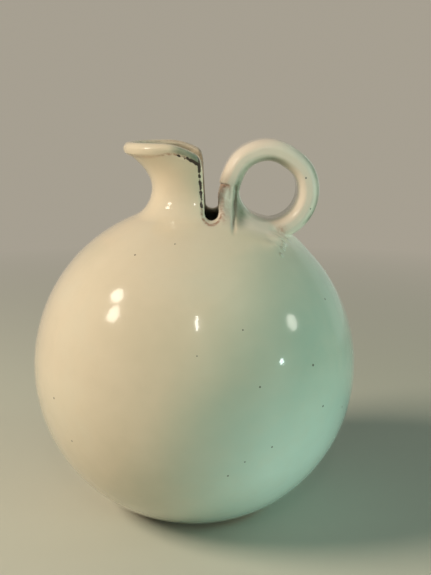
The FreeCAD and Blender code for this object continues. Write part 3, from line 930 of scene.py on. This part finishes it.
def seen_share(nodes, links):
    """1 for the rays that show the background: from the camera, a gloss or through glass."""
    path = nodes.new("ShaderNodeLightPath")
    total = path.outputs["Is Camera Ray"]
    for key in ("Is Glossy Ray", "Is Transmission Ray"):
        node = nodes.new("ShaderNodeMath")
        node.operation = "MAXIMUM"
        links.new(total, node.inputs[0])
        links.new(path.outputs[key], node.inputs[1])
        total = node.outputs[0]
    return total


def make_stage():
    """A pale floor that fades into the plain background, so that no horizon shows."""
    reach = FLOOR_REACH
    mesh = bpy.data.meshes.new("floor")
    mesh.from_pydata([(-reach, -reach, 0), (reach, -reach, 0), (reach, reach, 0), (-reach, reach, 0)],
                     [], [(0, 1, 2, 3)])
    floor = bpy.data.objects.new("floor", mesh)
    bpy.context.collection.objects.link(floor)
    g = Graph("floor_paper")
    g.shader.inputs["Base Color"].default_value = FLOOR_TINT
    g.shader.inputs["Roughness"].default_value = 0.9
    g.shader.inputs["Specular IOR Level"].default_value = 0.1
    glow = g.nodes.new("ShaderNodeEmission")
    glow.inputs["Color"].default_value = BACKGROUND
    far = g.nodes.new("ShaderNodeVectorMath")
    far.operation = "LENGTH"
    g.put(far.inputs[0], g.at)
    fade = g.span(far.outputs["Value"], FADE_FROM, FADE_TO)
    blend = g.nodes.new("ShaderNodeMixShader")
    g.put(blend.inputs[0], g.math("MULTIPLY", fade, seen_share(g.nodes, g.links)))
    g.links.new(g.shader.outputs[0], blend.inputs[1])
    g.links.new(glow.outputs[0], blend.inputs[2])
    g.links.new(blend.outputs[0], g.nodes["Material Output"].inputs["Surface"])
    mesh.materials.append(g.material)


def make_world():
    """A plain background to the eye, and a soft even light on the jug."""
    world = bpy.data.worlds.new("studio")
    bpy.context.scene.world = world
    world.use_nodes = True
    nodes, links = world.node_tree.nodes, world.node_tree.links
    lit = nodes["Background"]
    lit.inputs["Color"].default_value = AMBIENT
    lit.inputs["Strength"].default_value = AMBIENT_STRENGTH
    seen = nodes.new("ShaderNodeBackground")
    seen.inputs["Color"].default_value = BACKGROUND
    blend = nodes.new("ShaderNodeMixShader")
    links.new(seen_share(nodes, links), blend.inputs[0])
    links.new(lit.outputs[0], blend.inputs[1])
    links.new(seen.outputs[0], blend.inputs[2])
    links.new(blend.outputs[0], nodes["World Output"].inputs["Surface"])


def lamp(name, turn, height, size, power, colour, in_gloss=True):
    """An area lamp this many degrees round from the front and up, aimed at the jug's middle."""
    data = bpy.data.lights.new(name, "AREA")
    data.shape = "ELLIPSE"
    data.size, data.size_y = size
    data.energy = power
    data.color = colour
    light = bpy.data.objects.new(name, data)
    a, h = math.radians(turn), math.radians(height)
    away = Vector((math.sin(a) * math.cos(h), -math.cos(a) * math.cos(h), math.sin(h)))
    light.location = Vector(LAMP_AIM) + away * LAMP_DISTANCE
    light.rotation_euler = away.to_track_quat("Z", "Y").to_euler()
    light.visible_glossy = in_gloss
    light.visible_camera = False
    bpy.context.collection.objects.link(light)


def make_lights():
    """The lamps, placed from the photo's highlights and tinted to match its colours."""
    lamp("key_soft", -74, 36, (0.6, 0.6), 16.5, (1.0, 0.86, 0.68), False)
    lamp("key_upper", -77.4, 42.2, (0.27, 0.22), 1.2, (1.0, 0.91, 0.76))
    lamp("key_lower", -69.0, 33.2, (0.23, 0.25), 1.1, (1.0, 0.91, 0.76))
    lamp("strip_front", 3.4, 40.9, (0.05, 0.30), 0.6, (1.0, 0.96, 0.88))
    lamp("side_right", 80.4, 24.0, (0.23, 0.25), 0.75, (1.0, 0.96, 0.86))
    lamp("low_right", 60.9, 7.5, (0.08, 0.08), 0.3, (0.80, 1.0, 0.98))
    lamp("fill_soft", 66, -2, (1.0, 0.45), 13.5, (0.62, 1.0, 0.88), False)
    lamp("back_right", 142, -4, (1.3, 1.5), 0.7, (0.66, 1.0, 0.92))


def make_camera():
    """The camera that was fitted to the photo's outline."""
    data = bpy.data.cameras.new("camera")
    data.sensor_width = CAMERA_SENSOR
    data.lens = CAMERA_LENS
    camera = bpy.data.objects.new("camera", data)
    camera.location = CAMERA_AT
    camera.rotation_euler = (math.radians(90 - CAMERA_DIP), 0, 0)
    bpy.context.collection.objects.link(camera)
    bpy.context.scene.camera = camera


bpy.context.scene.view_settings.view_transform = "Standard"
build_pieces(glaze_material())
foot_piece(clay_material())
make_stage()
make_world()
make_lights()
make_camera()
